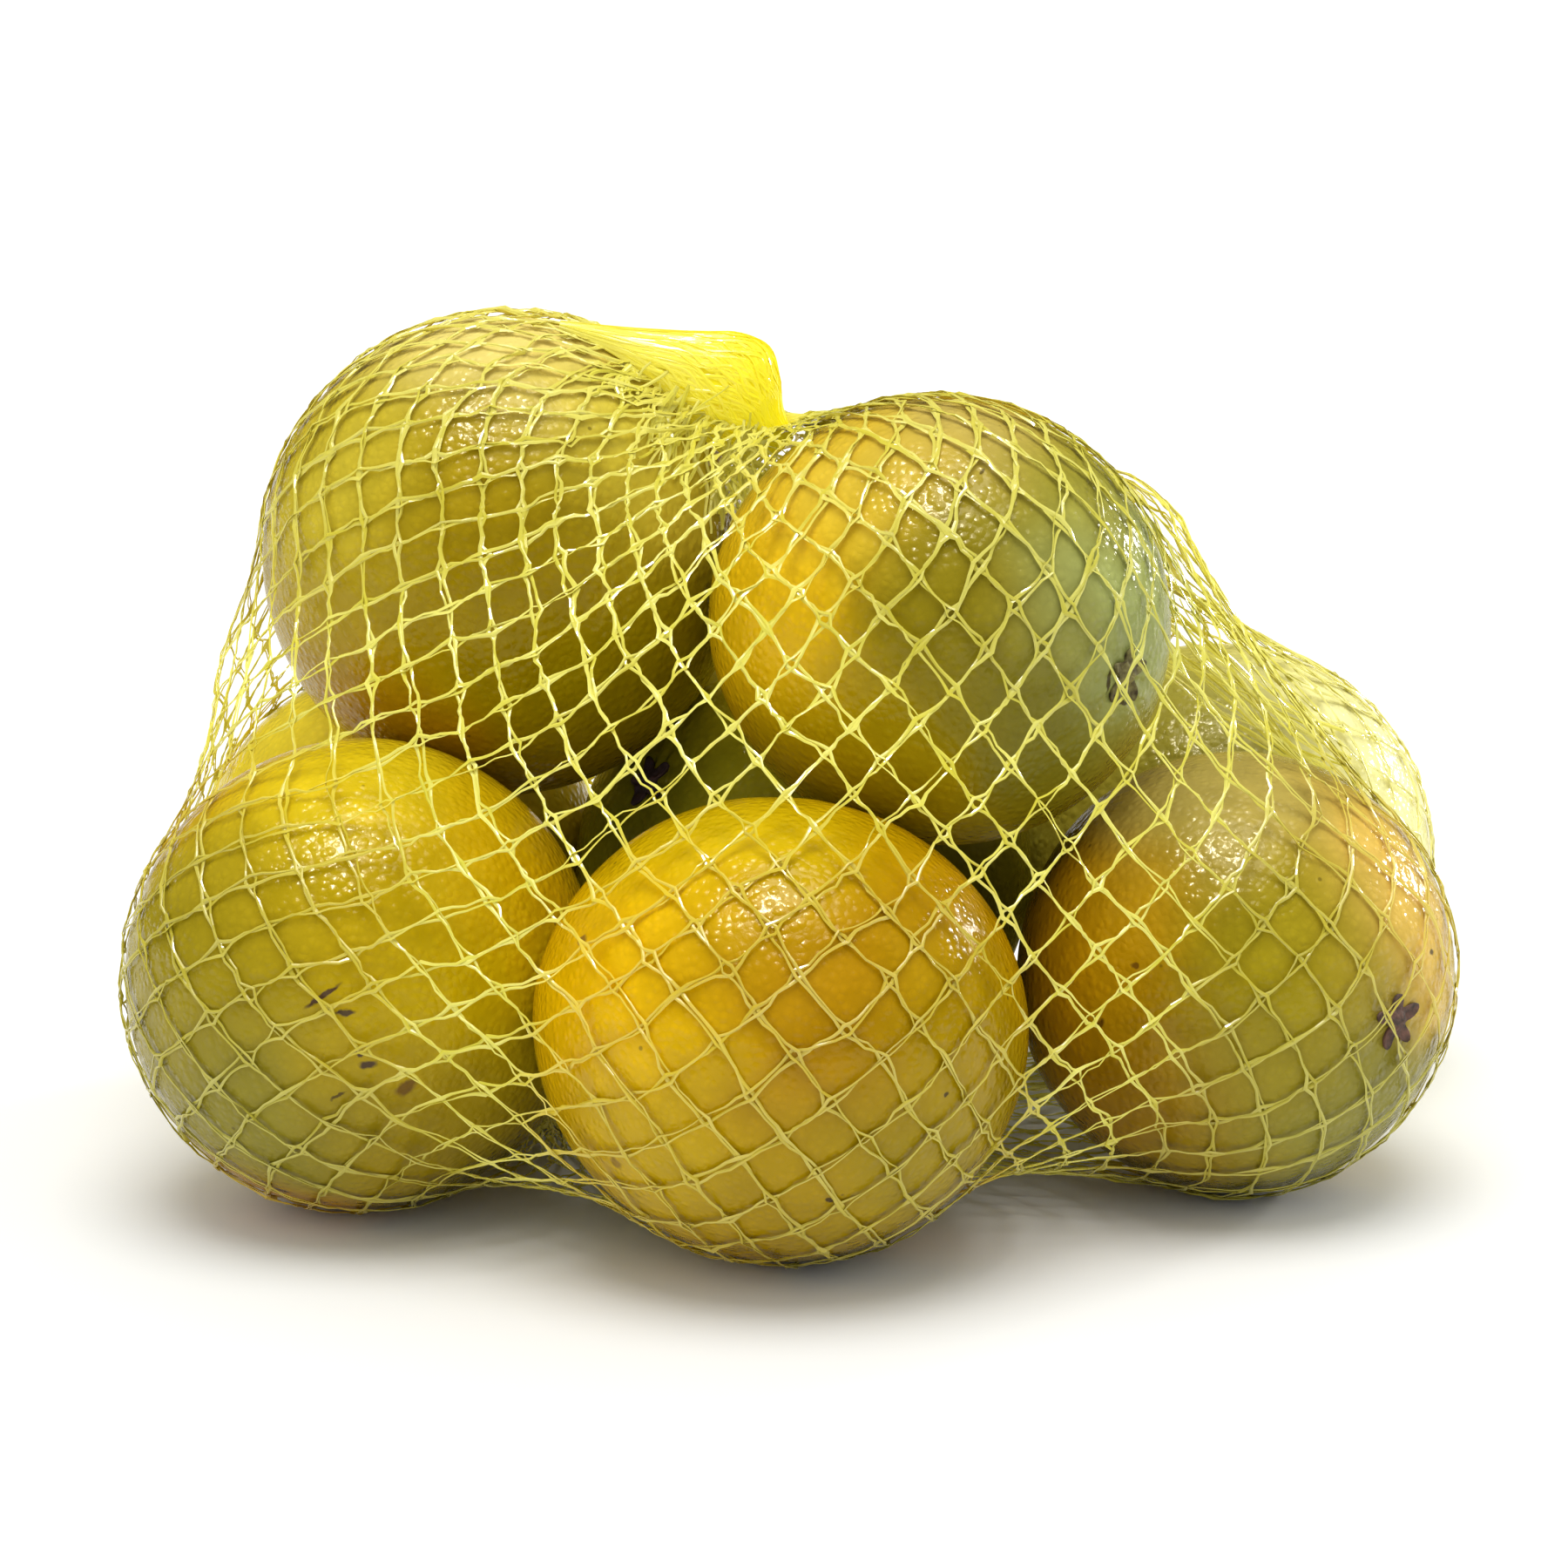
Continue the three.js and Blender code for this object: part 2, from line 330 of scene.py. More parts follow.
def hashed(cells, seed):
    """Repeatable random numbers from 0 to 1 for whole-numbered cells.

    Each is what follows the point in the stretched sine of a weighted sum of cell and seed.
    """
    return np.modf(np.abs(np.sin(cells @ HASH_WEIGHTS + HASH_SEED_STEP * seed) * HASH_STRETCH))[0]


def lumps(points, size, seed):
    """Smooth relief from -1 to 1: random values at the corners of cubes of that size, eased across each."""
    scaled = points / size
    low = np.floor(scaled)
    part = scaled - low
    part = part * part * (3 - 2 * part)
    total = 0.0
    for corner in itertools.product((0, 1), repeat=3):
        weight = np.prod(np.where(corner, part, 1 - part), axis=-1)
        total = total + weight * hashed(low + corner, seed)
    return 2 * total - 1


def seen_from_front(right, up):
    """Unit direction from a fruit's centre to the spot that the camera sees at that place on its disc."""
    tilt = math.radians(CAMERA_RISE)
    toward = math.sqrt(max(0.0, 1 - right ** 2 - up ** 2))
    return np.array([
        right,
        up * math.sin(tilt) - toward * math.cos(tilt),
        up * math.cos(tilt) + toward * math.sin(tilt),
    ])


class Orange:
    """One fruit: its row of the table, with its centre and the directions of its own frame worked out."""

    def __init__(self, number, row):
        self.number = number
        self.name = row["name"]
        self.base = row["peel"]
        self.blotches = row["blotches"]
        self.marks = row.get("marks", ())
        self.button = row.get("button", DRY_BUTTON)
        self.girth = row["across"] / 2
        self.half = row["tall"] / 2
        self.axis = unit(np.array(row["stem"]))
        self.side = unit(np.cross(self.axis, ASKEW))
        self.front = np.cross(self.axis, self.side)
        x, y, z = row["place"]
        lift = math.hypot(self.girth * math.sqrt(1 - self.axis[2] ** 2), self.half * self.axis[2])
        self.centre = np.array([x, y, lift if z is None else z])

    def depth(self, points, clear):
        """How far out points lie from the centre, where 1 is on the peel grown by the clearance."""
        arm = points - self.centre
        along = arm @ self.axis
        aside = np.sqrt(np.maximum((arm ** 2).sum(-1) - along ** 2, 0))
        return np.hypot(aside / (self.girth + clear), along / (self.half + clear))

    def skin(self, direction):
        """The point where a direction from the centre meets the bare ellipsoid."""
        return self.centre + direction / self.depth(self.centre + direction, 0)

    def peel(self, theta, phi, proud=0.0):
        """Points of the peel at an angle theta from the stem end and phi round it.

        An ellipsoid of revolution, moved along its normals by lumps of three sizes, the furrows that run to
        the stem end, and the pits at both ends. Proud lifts the points by as many millimetres.
        """
        across = np.cos(phi)[..., None] * self.side + np.sin(phi)[..., None] * self.front
        sine, cosine = np.sin(theta)[..., None], np.cos(theta)[..., None]
        points = self.centre + self.girth * sine * across + self.half * cosine * self.axis
        normals = unit(sine / self.girth * across + cosine / self.half * self.axis)
        rise = proud - LUMPS_DROP
        for size, height in LUMPS:
            rise = rise + height * lumps(points, size, SEED + self.number)
        from_stem = theta * self.girth
        from_blossom = (math.pi - theta) * self.girth
        stray = FURROW_STRAY * lumps(points, FURROW_STRAY_SIZE, FURROW_SEED + self.number)
        furrow = 0.5 - 0.5 * np.cos(FURROWS * phi + stray)
        fade = np.exp(-(from_stem / FURROW_REACH) ** 2) * np.minimum(from_stem / FURROW_START, 1)
        rise = rise - FURROW_DEPTH * furrow * fade
        for (depth, reach), far in ((STEM_PIT, from_stem), (BLOSSOM_PIT, from_blossom)):
            rise = rise - depth * np.exp(-(far / reach) ** 2)
        points = points + rise[..., None] * normals
        points[..., 2] = np.maximum(points[..., 2], FLOOR_GAP)
        return points

    def colours(self, points):
        """Peel colours in linear light: blotches that fade with the square of their distance, over a base.

        The places are shaken by lumps first, so that the blotches have uneven edges, and the sides that
        face away from the camera get blotches by a seeded draw. Mottling by lumps goes over them all. Some
        blotches of the table are painted shade and painted highlights, so these colours hold painted light
        too.
        """
        shakes = np.stack([lumps(points, BLOTCH_SHAKE_SIZE, BLOTCH_SEED + k) for k in range(3)], -1)
        direction = unit(points + BLOTCH_SHAKE * shakes - self.centre)
        spots = [(seen_from_front(right, up), reach, hue) for right, up, reach, hue in self.blotches]
        draw = np.random.default_rng(SEED + self.number)
        for hue in HIDDEN_SIDE:
            away = unit(unit(draw.normal(size=3)) + HIDDEN_WAY)
            spots.append((away, draw.uniform(*HIDDEN_REACH), hue))
        weights = [np.exp(-((direction - spot) ** 2).sum(-1) / reach ** 2) for spot, reach, _ in spots]
        weights = np.stack([np.full(points.shape[:-1], BASE_WEIGHT), *weights], -1)
        hues = np.array([linear(self.base), *(linear(hue) for _, _, hue in spots)])
        mixed = weights @ hues / weights.sum(-1, keepdims=True)
        shade = 1.0
        for k, (size, strength) in enumerate(MOTTLING):
            shade = shade + strength * lumps(points, size, MOTTLE_SEED + k)
        mixed[..., :3] *= shade[..., None]
        return np.clip(mixed, 0, 1)


HEAP = [Orange(number, row) for number, row in enumerate(ORANGES)]


def push_out(points, clear):
    """Moves points that lie inside an orange straight out from its centre to its skin and the clearance."""
    for orange in HEAP:
        depth = orange.depth(points, clear)
        grow = np.where(depth < 1, 1 / np.maximum(depth, TINY), 1)
        points = orange.centre + (points - orange.centre) * grow[..., None]
    return points


def stood_off(points):
    """Moves points that lie inside a ball that the stiff net stands off by straight out to its surface."""
    for *middle, size in STAND_OFF:
        arm = points - middle
        far = np.maximum(np.linalg.norm(arm, axis=-1, keepdims=True), TINY)
        points = points + np.maximum(size / far - 1, 0) * arm
    return points


def film_over_peel(points, film, cover):
    """Colours of thin film near the fruit, and the painted glow that stands for light from behind it.

    Its own colour is mixed with that of the peel that shows through it. The cover is its own share where it
    touches the peel, and that share rises to one with the square of the gap to the peel. So does the
    painted glow, which falls off away from the places where the net stands off the heap.
    """
    gaps = np.stack([(orange.depth(points, 0) - 1) * orange.girth for orange in HEAP], -1)
    nearest = gaps.argmin(-1)
    under = np.empty(points.shape[:-1] + (4,))
    for orange in HEAP:
        touched = nearest == orange.number
        under[touched] = orange.colours(points[touched])
    gap = np.maximum(gaps.min(-1) - FILM_TOUCH, 0)
    free = 1 - np.exp(-(gap / FILM_GAP) ** 2)
    own = between(cover, 1, free)
    past = [np.linalg.norm(points - middle, axis=-1) - size for *middle, size in STAND_OFF]
    backlit = np.exp(-(np.maximum(np.min(past, axis=0), 0) / GLOW_REACH) ** 2)
    return between(under, film, own[..., None]), FILM_GLOW * free * backlit


def joined_knots(knots):
    """The four knots that each knot is tied to: two in the row above and two in the row below."""
    above, below = np.roll(knots, 1, 0), np.roll(knots, -1, 0)
    return above, np.roll(above, -1, 1), below, np.roll(below, 1, 1)


def first_knots(columns, rows):
    """Knots before the net is drawn tight, as rows of columns, and the two rings that it is gathered on.

    They lie on an ellipsoid through the corners of the heap's box, each row half a column on from the last
    and turned by its share of the twist. The upper columns are spread by a sine, widest apart at the front.
    """
    low = np.min([orange.centre - orange.girth for orange in HEAP], axis=0) - NET_CLEAR
    high = np.max([orange.centre + orange.girth for orange in HEAP], axis=0) + NET_CLEAR
    row, column = np.mgrid[0:rows + 1, 0:columns].astype(float)
    turn = 2 * np.pi * (column + row / 2 - NET_TWIST * row / rows) / columns
    turn = turn + FRONT_SPREAD * np.clip(1 - row / rows / FRONT_END, 0, 1) * np.sin(turn - FRONT_WAY)
    fall = np.pi * between(POLE_GAP, 1 - POLE_GAP, row / rows)
    ring = np.stack([np.cos(turn), np.sin(turn), 0 * turn], -1)
    around = ring * np.sin(fall)[..., None] + np.cos(fall)[..., None] * (0, 0, 1)
    knots = (low + high) / 2 + around * (high - low) * math.sqrt(3) / 2
    run = unit(LOOP_RUN)
    across = unit(np.cross((0, 0, 1), run))
    loop = LOOP_HALF_LENGTH * ring[0][:, :1] * run + LOOP_HALF_WIDTH * ring[0][:, 1:2] * across
    return knots, push_out(LOOP_MIDDLE + loop, NET_CLEAR), UNDER + UNDER_RADIUS * ring[-1]


def drawn_net(columns, rows, strand):
    """Knots of the net drawn tight over the heap, as rows of columns, in millimetres.

    First each knot is pulled towards the length-weighted mean of its four neighbours, so that the net
    shrinks on to the fruit. Then each strand pulls back to its own length, and a few rounds of the first
    kind smooth it. At every step the fruit, the balls that the net stands off by and the floor push the
    knots out, and the first and last rows stay on the rings where the net is gathered.
    """
    knots, top, bottom = first_knots(columns, rows)
    row = np.arange(rows + 1)[:, None, None]
    squeeze = SQUEEZE * np.clip((np.minimum(row, rows - row) - 1) / SQUEEZE_ROWS, 0, 1)
    for step in range(SHRINK_STEPS + EVEN_STEPS + SETTLE_STEPS):
        arms = [other - knots for other in joined_knots(knots)]
        lengths = [np.maximum(np.linalg.norm(arm, axis=-1, keepdims=True), TINY) for arm in arms]
        if SHRINK_STEPS <= step < SHRINK_STEPS + EVEN_STEPS:
            away = ((knots - HOLD_PLACE) ** 2).sum(-1, keepdims=True)
            firm = squeeze + HOLD * np.exp(-away / (2 * HOLD_REACH ** 2))
            for length, arm in zip(lengths, arms):
                share = np.where(length > strand, STRETCH, firm) * (1 - strand / length)
                knots = knots + (share + SLACK / len(arms)) * arm
        else:
            pulled = sum(length * arm for length, arm in zip(lengths, arms))
            knots = knots + SHRINK_PULL * pulled / sum(lengths)
        knots = stood_off(push_out(knots, NET_CLEAR))
        knots[..., 2] = np.maximum(knots[..., 2], NET_LOWEST)
        knots[0], knots[-1] = top, bottom
    return knots


def outward(knots):
    """Unit normals of the net at its knots: the way down across the way round."""
    above, above_next, below, below_before = joined_knots(knots)
    down = below + below_before - above - above_next
    down[0] = down[1]
    down[-1] = down[-2]
    along = np.roll(knots, -1, 1) - np.roll(knots, 1, 1)
    return unit(np.cross(down, along))


def strands_of(values, lay):
    """Values at the knots, in order along each strand: lay 0 keeps its column, lay 1 steps back by one."""
    row, column = np.mgrid[0:values.shape[0], 0:values.shape[1]]
    return np.swapaxes(values[row, (column - lay * row) % values.shape[1]], 0, 1)


def smooth_path(points, cuts):
    """A Catmull-Rom curve along axis 1: between two points it is the cubic that their neighbours set."""
    first = 2 * points[:, :1] - points[:, 1:2]
    last = 2 * points[:, -1:] - points[:, -2:-1]
    padded = np.concatenate([first, points, last], axis=1)
    count = points.shape[1] - 1
    a, b, c, d = (padded[:, k:k + count, None] for k in range(4))
    u = (np.arange(cuts) / cuts)[:, None]
    curve = b + u * (c - a) / 2
    curve = curve + u ** 2 * (a - 2.5 * b + 2 * c - d / 2) + u ** 3 * (1.5 * (b - c) + (d - a) / 2)
    curve = curve.reshape(len(points), count * cuts, points.shape[2])
    return np.concatenate([curve, points[:, -1:]], axis=1)


def linear_path(values, cuts):
    """Values along axis 1 with straight steps put between them."""
    u = np.arange(cuts) / cuts
    steps = values[:, :-1, None] * (1 - u) + values[:, 1:, None] * u
    return np.concatenate([steps.reshape(len(values), -1), values[:, -1:]], axis=1)


def ball_faces(rings, sides):
    """Corner numbers and face sizes of a ball: rings of points from pole to pole, with the poles last."""
    ring, side = np.mgrid[0:rings - 1, 0:sides]
    after = (side + 1) % sides
    below = (ring + 1) * sides
    quads = np.stack([ring * sides + side, below + side, below + after, ring * sides + after], -1)
    side, after, count = side[0], after[0], rings * sides
    top = np.stack([np.full(sides, count), side, after], -1)
    last = count - sides
    bottom = np.stack([np.full(sides, count + 1), last + after, last + side], -1)
    corners = np.concatenate([quads.ravel(), top.ravel(), bottom.ravel()])
    sizes = np.repeat([4, 3], [quads.size // 4, 2 * sides])
    return corners, sizes


def ribbon_faces(ribbons, steps):
    """Corner numbers and face sizes of closed ribbons: each is a row of sections with both ends capped."""
    ribbon, step, side = np.mgrid[0:ribbons, 0:steps - 1, 0:SECTION]
    here = (ribbon * steps + step) * SECTION
    after = (side + 1) % SECTION
    walls = np.stack([here + side, here + after, here + SECTION + after, here + SECTION + side], -1)
    start = np.arange(ribbons)[:, None] * steps * SECTION
    around = np.arange(SECTION)
    caps = np.concatenate([start + around[::-1], start + (steps - 1) * SECTION + around])
    corners = np.concatenate([walls.ravel(), caps.ravel()])
    return corners, np.full(len(corners) // 4, 4)


def ribbon_points(path, normals, half_width, roll):
    """Sections of flat ribbons along paths: lozenges across the path, turned by the roll."""
    along = unit(np.gradient(path, axis=1))
    side = unit(np.cross(normals, along))
    up = np.cross(along, side)
    cosine, sine = np.cos(roll)[..., None], np.sin(roll)[..., None]
    wide = (cosine * side + sine * up) * half_width[..., None]
    thick = (cosine * up - sine * side) * HALF_THICK
    return np.stack([path + wide, path + thick, path - wide, path - thick], axis=2)


def new_piece(name, points, faces, material, smooth=True):
    """Adds a mesh piece from points in millimetres, riding on the body in place of the solid."""
    corners, sizes = faces
    mesh = bpy.data.meshes.new(name)
    mesh.vertices.add(len(points))
    mesh.vertices.foreach_set("co", (points * MM).ravel().astype(np.float32))
    mesh.loops.add(len(corners))
    mesh.loops.foreach_set("vertex_index", corners.astype(np.int32))
    mesh.polygons.add(len(sizes))
    mesh.polygons.foreach_set("loop_start", np.concatenate([[0], np.cumsum(sizes)[:-1]]).astype(np.int32))
    mesh.polygons.foreach_set("use_smooth", np.full(len(sizes), smooth))
    mesh.update(calc_edges=True)
    if mesh.validate():
        raise RuntimeError(f"{name} has faces that Blender had to mend")
    mesh.materials.append(material)
    piece = bpy.data.objects.new(name, mesh)
    bpy.context.scene.collection.objects.link(piece)
    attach(piece, BODY)
    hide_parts(NODE)
    return piece


def paint(piece, name, colours):
    """Stores a colour for each point of a piece."""
    layer = piece.data.color_attributes.new(name, "FLOAT_COLOR", "POINT")
    layer.data.foreach_set("color", colours.ravel().astype(np.float32))


def paint_film(piece, colours, glow):
    """Stores the colours of film, and its painted glow, for each point of a piece."""
    paint(piece, "film_colour", colours)
    layer = piece.data.attributes.new("glow", "FLOAT", "POINT")
    layer.data.foreach_set("value", glow.ravel().astype(np.float32))


def film_piece(name, sections, material, colours, glow):
    """Adds ribbons of film as one piece, flat-shaded, with the colours and painted glow of each section."""
    faces = ribbon_faces(*sections.shape[:2])
    piece = new_piece(name, sections.reshape(-1, 3), faces, material, smooth=False)
    paint_film(piece, np.repeat(colours.reshape(-1, 4), SECTION, axis=0), np.repeat(glow.ravel(), SECTION))


def add_node(tree, kind, inputs=(), **settings):
    """Adds a shader node with its settings.

    Inputs go by name, or in the order of the node's sockets. Each is a value, or an output to link to it.
    """
    made = tree.nodes.new(kind)
    for name, value in settings.items():
        setattr(made, name, value)
    for name, value in inputs.items() if isinstance(inputs, dict) else enumerate(inputs):
        if isinstance(value, bpy.types.NodeSocket):
            tree.links.new(value, made.inputs[name])
        else:
            made.inputs[name].default_value = value
    return made


def new_material(name):
    """A material with a Principled shader on its output, its tree and that shader."""
    material = bpy.data.materials.new(name)
    material.use_nodes = True
    tree = material.node_tree
    tree.nodes.clear()
    shader = add_node(tree, "ShaderNodeBsdfPrincipled")
    add_node(tree, "ShaderNodeOutputMaterial", {"Surface": shader.outputs["BSDF"]})
    return material, tree, shader


def mottled_with_painted_shade(tree, base, glands, patches):
    """The base colour in lighter and darker patches, with painted shade in the hollows between the glands.
    """
    patch = add_node(tree, "ShaderNodeMapRange", (patches, 0.3, 0.7, 0.90, 1.08)).outputs["Result"]
    # Painted shade: darker away from the middle of each gland, in the hollows between the domes.
    hollow = add_node(tree, "ShaderNodeMapRange", (glands, 0.1, 0.6, 1.03, 0.95)).outputs["Result"]
    shade = add_node(tree, "ShaderNodeMath", (patch, hollow), operation="MULTIPLY").outputs["Value"]
    tinted = add_node(tree, "ShaderNodeVectorMath", {0: base, "Scale": shade}, operation="SCALE")
    return tinted.outputs["Vector"]


def specked(tree, place, colour):
    """The colour with a brown dot in some of the cells of a coarse pattern."""
    scale = 1 / (SPECK_SPACING * MM)
    cells = add_node(tree, "ShaderNodeTexVoronoi", {"Vector": place, "Scale": scale}).outputs
    chance = add_node(tree, "ShaderNodeSeparateColor", {"Color": cells["Color"]}).outputs["Red"]
    picked = add_node(tree, "ShaderNodeMath", (chance, 1 - SPECKED_SHARE), operation="GREATER_THAN")
    dot = add_node(tree, "ShaderNodeMapRange", (cells["Distance"], 0.05, 0.09, 0.55, 0.0)).outputs["Result"]
    speck = add_node(tree, "ShaderNodeMath", (dot, picked.outputs["Value"]), operation="MULTIPLY")
    mix = {"Factor": speck.outputs["Value"], "A": colour, "B": linear(SPECK_COLOUR)}
    return add_node(tree, "ShaderNodeMix", mix, data_type="RGBA").outputs["Result"]


def mark_turn(direction, turn):
    """Euler angles of a mark: its length in the peel, turned from level, and its depth along the normal."""
    level = unit(np.cross((0, 0, 1), direction))
    rise = np.cross(direction, level)
    angle = math.radians(turn)
    long = math.cos(angle) * level + math.sin(angle) * rise
    wide = np.cross(direction, long)
    return Matrix((long, wide, direction)).transposed().to_euler()


def scarred(tree, place, colour, orange):
    """The colour with the orange's marks over it: stretched ellipses with ragged edges."""
    scale, reach = 1 / (SCAR_RAGGED_SIZE * MM), SCAR_RAGGED * MM
    ragged = add_node(tree, "ShaderNodeTexNoise", {"Vector": place, "Scale": scale, "Detail": 2.0})
    shake = add_node(
        tree, "ShaderNodeVectorMath",
        (ragged.outputs["Color"], (reach,) * 3, (-reach / 2,) * 3), operation="MULTIPLY_ADD",
    )
    shaken = add_node(tree, "ShaderNodeVectorMath", (place, shake.outputs["Vector"]))
    for right, up, length, width, turn, hue in orange.marks:
        direction = seen_from_front(right, up)
        mapped = add_node(
            tree, "ShaderNodeMapping",
            {
                "Vector": shaken.outputs["Vector"],
                "Location": orange.skin(direction) * MM,
                "Rotation": mark_turn(direction, turn),
                "Scale": (length / 2 * MM, width / 2 * MM, SCAR_DEPTH / 2 * MM),
            },
            vector_type="TEXTURE",
        )
        far = add_node(tree, "ShaderNodeVectorMath", (mapped.outputs["Vector"],), operation="LENGTH")
        cover = add_node(tree, "ShaderNodeMapRange", (far.outputs["Value"], 0.7, 1.2, 0.9, 0.0))
        mix = {"Factor": cover.outputs["Result"], "A": colour, "B": linear(hue)}
        colour = add_node(tree, "ShaderNodeMix", mix, data_type="RGBA").outputs["Result"]
    return colour


def peel_material(orange, settings):
    """Orange peel: a waxy rind full of oil glands.

    To the eye it is a soft gloss broken up by the pores, with colour that drifts from green to orange, a
    fine mottling, brown specks, and scars where the fruit rubbed on a twig. The colour also holds painted
    shade, in the hollows between the glands and in some blotches, and painted highlights in a few others.
    """
    material, tree, shader = new_material(f"orange_peel_{orange.name}")
    place = add_node(tree, "ShaderNodeTexCoord").outputs["Object"]
    base = add_node(tree, "ShaderNodeAttribute", attribute_name="peel_colour_and_painted_light").outputs["Color"]
    scale = 1 / settings.pore_spacing
    glands = add_node(tree, "ShaderNodeTexVoronoi", {"Vector": place, "Scale": scale}).outputs["Distance"]
    noises = (
        add_node(tree, "ShaderNodeTexNoise", {"Vector": place, "Scale": 1 / (size * MM), "Detail": detail})
        for size, detail in ((GRAIN_SIZE, 3.0), (PATCH_SIZE, 4.0))
    )
    grains, patches = (noise.outputs["Fac"] for noise in noises)
    colour = specked(tree, place, mottled_with_painted_shade(tree, base, glands, patches))
    tree.links.new(scarred(tree, place, colour, orange), shader.inputs["Base Color"])

    # Gloss: wax that is worn in patches
    gloss = add_node(tree, "ShaderNodeMapRange", (patches, 0.3, 0.7, 0.14, 0.25))
    tree.links.new(gloss.outputs["Result"], shader.inputs["Roughness"])
    shader.inputs["IOR"].default_value = 1.35
    shader.inputs["Specular Tint"].default_value = linear("#FFF4CC")

    # Pores: the glands stand up as low domes with a finer grain over them
    dome = add_node(
        tree, "ShaderNodeMapRange", (glands, 0.0, 0.75, 1.0, 0.0), interpolation_type="SMOOTHSTEP"
    ).outputs["Result"]
    height = add_node(tree, "ShaderNodeMath", (grains, 0.5, dome), operation="MULTIPLY_ADD")
    pores = add_node(
        tree, "ShaderNodeBump",
        {"Strength": 1.0, "Distance": settings.pore_depth, "Height": height.outputs["Value"]},
    )
    tree.links.new(pores.outputs["Normal"], shader.inputs["Normal"])
    return material


def button_material(orange):
    """Dried calyx: a brown woody button left by the stalk.

    To the eye it is dull, cracked and uneven in colour.
    """
    material, tree, shader = new_material(f"dried_calyx_{orange.name}")
    dark, pale = map(linear, orange.button)
    place = add_node(tree, "ShaderNodeTexCoord").outputs["Object"]
    scale = 1 / (BUTTON_GRAIN * MM)
    patch = add_node(tree, "ShaderNodeTexNoise", {"Vector": place, "Scale": scale, "Detail": 5.0})
    patch = patch.outputs["Fac"]
    tone = add_node(tree, "ShaderNodeMapRange", (patch, 0.35, 0.68)).outputs["Result"]
    colour = add_node(tree, "ShaderNodeMix", {"Factor": tone, "A": dark, "B": pale}, data_type="RGBA")
    tree.links.new(colour.outputs["Result"], shader.inputs["Base Color"])
    shader.inputs["Roughness"].default_value = 0.75
    relief = {"Strength": 0.7, "Distance": BUTTON_RELIEF * MM, "Height": patch}
    rough = add_node(tree, "ShaderNodeBump", relief)
    tree.links.new(rough.outputs["Normal"], shader.inputs["Normal"])
    return material


def net_material(name):
    """Polyethylene net: yellow film, slit and drawn into flat filaments and knitted.

    To the eye it is a pale glossy yellow, with white glints where a filament turns and a deeper yellow
    where the film is folded double. It is thin enough to show the peel under it, and where it hangs free
    or is bunched it is brighter by a painted glow, light that it emits in its own colour and that stands
    for the light that comes through it.
    """
    material, tree, shader = new_material(name)
    film = add_node(tree, "ShaderNodeAttribute", attribute_name="film_colour")
    tree.links.new(film.outputs["Color"], shader.inputs["Base Color"])
    # Painted glow: the film emits its own colour, as strong as its glow attribute.
    tree.links.new(film.outputs["Color"], shader.inputs["Emission Color"])
    glow = add_node(tree, "ShaderNodeAttribute", attribute_name="glow")
    tree.links.new(glow.outputs["Fac"], shader.inputs["Emission Strength"])
    material.cycles.emission_sampling = "NONE"
    shader.inputs["Roughness"].default_value = 0.2
    shader.inputs["IOR"].default_value = 1.51
    return material


LENGTH = {"unit": "LENGTH", "precision": 5}


class FruitSettings(bpy.types.PropertyGroup):
    """Sizes of the peel's surface."""

    meridians: IntProperty(name="Meridians", description="Points round each orange", default=180, min=16)
    rings: IntProperty(name="Rings", description="Points from stem end to blossom end", default=89, min=8)
    pore_spacing: FloatProperty(
        name="Pore spacing", description="From one oil gland to the next", default=1.5 * MM, **LENGTH
    )
    pore_depth: FloatProperty(
        name="Pore depth", description="Height of an oil gland's dome", default=0.16 * MM, **LENGTH
    )


class NetSettings(bpy.types.PropertyGroup):
    """Sizes and colours of the net."""

    columns: IntProperty(name="Columns", description="Knots round the net", default=58, min=8)
    rows: IntProperty(name="Rows", description="Rows of knots from top to bottom", default=44, min=8)
    strand: FloatProperty(
        name="Strand", description="Length of net from knot to knot", default=7.6 * MM, **LENGTH
    )
    filament: FloatProperty(
        name="Filament", description="Width of a flat filament", default=0.68 * MM, **LENGTH
    )
    opening: FloatProperty(
        name="Opening", description="Between the two filaments at a knot", default=1.25 * MM, **LENGTH
    )
    thin_colour: FloatVectorProperty(
        name="Thin film", description="Colour of the palest filaments", subtype="COLOR",
        default=linear("#EAE474")[:3],
    )
    thick_colour: FloatVectorProperty(
        name="Thick film", description="Colour of folded filaments", subtype="COLOR",
        default=linear("#D4CA3E")[:3],
    )
    tail_colour: FloatVectorProperty(
        name="Tail", description="Colour of the bunched net", subtype="COLOR", default=linear("#FFF000")[:3]
    )


class StageSettings(bpy.types.PropertyGroup):
    """Light and floor."""

    floor_colour: FloatVectorProperty(
        name="Floor", description="Colour of the floor", subtype="COLOR", default=linear("#E8E8E6")[:3]
    )
    sky: FloatProperty(name="Sky strength", description="Light from all round", default=0.86, min=0)
    room: FloatProperty(name="Room strength", description="What the wax mirrors", default=0.06, min=0)
    top: FloatProperty(name="Top strength", description="Soft light from above", default=1.8, min=0)
    spark: FloatProperty(name="Spark strength", description="Small light that sparkles", default=2.2, min=0)
    side: FloatProperty(name="Side strength", description="Light from the back right", default=1.1, min=0)


